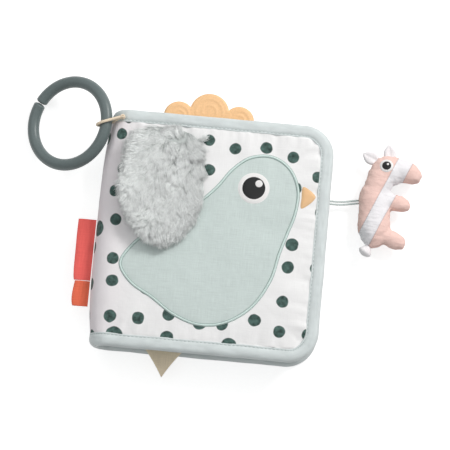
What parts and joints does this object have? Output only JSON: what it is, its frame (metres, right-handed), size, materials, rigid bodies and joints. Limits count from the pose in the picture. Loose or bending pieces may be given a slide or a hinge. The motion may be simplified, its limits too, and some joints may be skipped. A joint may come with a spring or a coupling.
{
  "type": "crinkle cloth book",
  "caption": "Soft padded cloth book for a baby with a round spine, crinkle leaves, stroller ring, plush flap, teether, tabs and a tethered stuffed animal.",
  "frame": {"origin": "centre of the back cover's outer face, on which the shut book lies", "axes": "+X from the spine to the fore-edge, +Y towards the book's top edge, +Z from the back cover to the front cover"},
  "size_m": [0.2743, 0.2, 0.0412],
  "materials": {
    "white_cloth": "plain woven cotton with a print of dark irregular dots",
    "sage_cloth": "plain woven cotton",
    "binding_tape": "bias tape with a stitched inner edge",
    "lining_cloth": "plain woven cotton",
    "pink_cloth": "plain woven cotton",
    "wadding": "soft polyester wadding",
    "crinkle_film": "thin crackling film",
    "mint_thread": "satin stitch",
    "white_thread": "satin stitch",
    "dark_thread": "satin stitch",
    "peach_cloth": "satin stitch",
    "plush": "long soft pile",
    "ring_plastic": "smooth satin",
    "elastic": "round elastic cord",
    "red_tab": "woven ribbon, bare",
    "orange_tab": "woven ribbon, bare",
    "peach_silicone": "matte silicone with embossed arcs",
    "cream_cloth": "folded cotton",
    "tether_cord": "thin round cord",
    "toy_pink": "stuffed cotton with broad stripes",
    "toy_white": "stuffed cotton with broad stripes"
  },
  "bodies": {
    "back_cover": {"back_cover_outer_cloth": "sage_cloth", "back_cover_lining": "lining_cloth", "back_cover_padding": "wadding", "back_cover_crinkle_film": "crinkle_film", "back_cover_binding": "binding_tape", "tether_patch": "lining_cloth", "tether_strand_lower": "tether_cord", "tether_strand_upper": "tether_cord"},
    "front_cover": {"front_cover_outer_cloth": "white_cloth", "front_cover_lining": "lining_cloth", "front_cover_padding": "wadding", "front_cover_crinkle_film": "crinkle_film", "front_cover_binding": "binding_tape", "bird_applique": "sage_cloth", "bird_outline_stitching": "mint_thread", "bird_beak": "peach_cloth", "eye_white_embroidery": "white_thread", "eye_dark_embroidery": "dark_thread", "eye_glint_embroidery": "white_thread"},
    "back_leaf": {"back_leaf_lower_panel": "white_cloth", "back_leaf_upper_panel": "pink_cloth", "back_leaf_padding": "wadding", "back_leaf_crinkle_film": "crinkle_film", "back_leaf_binding": "binding_tape", "back_leaf_tongue": "binding_tape", "cream_corner_tab": "cream_cloth"},
    "front_leaf": {"front_leaf_lower_panel": "pink_cloth", "front_leaf_upper_panel": "white_cloth", "front_leaf_padding": "wadding", "front_leaf_crinkle_film": "crinkle_film", "front_leaf_binding": "binding_tape", "front_leaf_tongue": "binding_tape", "silicone_teether": "peach_silicone"},
    "spine_tabs": {"long_woven_tab": "red_tab", "short_woven_tab": "orange_tab"},
    "wing_flap": {"wing_flap_backing": "sage_cloth", "wing_flap_plush": "plush"},
    "hanger_knot": {"elastic_knot": "elastic"},
    "hanger_loop": {"elastic_loop": "elastic"},
    "hanger_ring": {"stroller_ring": "ring_plastic"},
    "toy": {"toy_body": "toy_pink", "toy_head": "toy_pink", "toy_muzzle": "toy_white", "toy_front_leg": "toy_white", "toy_rear_leg": "toy_white", "toy_tail": "toy_pink", "toy_upper_ear": "toy_white", "toy_lower_ear": "toy_white", "toy_eye": "dark_thread"}
  },
  "joints": [
    {"name": "cover_open", "type": "hinge", "parent": "back_cover", "child": "front_cover", "pos_m": [-0.0784, 0, 0.016], "axis": [0, -1, 0], "range_deg": [0, 180]},
    {"name": "front_leaf_turn", "type": "hinge", "parent": "back_cover", "child": "front_leaf", "pos_m": [-0.0784, 0, 0.016], "axis": [0, -1, 0], "range_deg": [0, 120]},
    {"name": "back_leaf_turn", "type": "hinge", "parent": "back_cover", "child": "back_leaf", "pos_m": [-0.0784, 0, 0.016], "axis": [0, -1, 0], "range_deg": [0, 60]},
    {"name": "tabs_fold", "type": "hinge", "parent": "back_cover", "child": "spine_tabs", "pos_m": [-0.0784, 0, 0.016], "axis": [0, -1, 0], "range_deg": [0, 90]},
    {"name": "hanger_fold", "type": "hinge", "parent": "front_cover", "child": "hanger_knot", "pos_m": [-0.0667, 0.0746, 0.03471], "axis": [0, -1, 0], "range_deg": [-180, 0]},
    {"name": "hanger_swing", "type": "hinge", "parent": "hanger_knot", "child": "hanger_loop", "pos_m": [-0.0667, 0.0746, 0.03471], "axis": [0.2483, -0.0267, -0.9683], "range_deg": [0, 112]},
    {"name": "ring_spin", "type": "hinge", "parent": "hanger_loop", "child": "hanger_ring", "pos_m": [-0.10371, 0.0705, 0.01733], "axis": [-0.4563, 0, 0.8898], "continuous": true},
    {"name": "flap_lift", "type": "hinge", "parent": "front_cover", "child": "wing_flap", "pos_m": [-0.0046, 0.0308, 0.0334], "axis": [0, 1, 0], "range_deg": [0, 100]},
    {"name": "toy_turn", "type": "hinge", "parent": "back_cover", "child": "toy", "pos_m": [0.0982, 0.0359, 0.0079], "axis": [0, 0, 1], "range_deg": [-16, 16]}
  ],
  "couplings": [
    {"joint": "front_leaf_turn", "follows": "cover_open", "ratio": 0.6666},
    {"joint": "back_leaf_turn", "follows": "cover_open", "ratio": 0.3333},
    {"joint": "tabs_fold", "follows": "cover_open", "ratio": 0.5},
    {"joint": "hanger_fold", "follows": "cover_open", "ratio": -1},
    {"joint": "hanger_swing", "follows": "cover_open", "ratio": 0.6222}
  ]
}
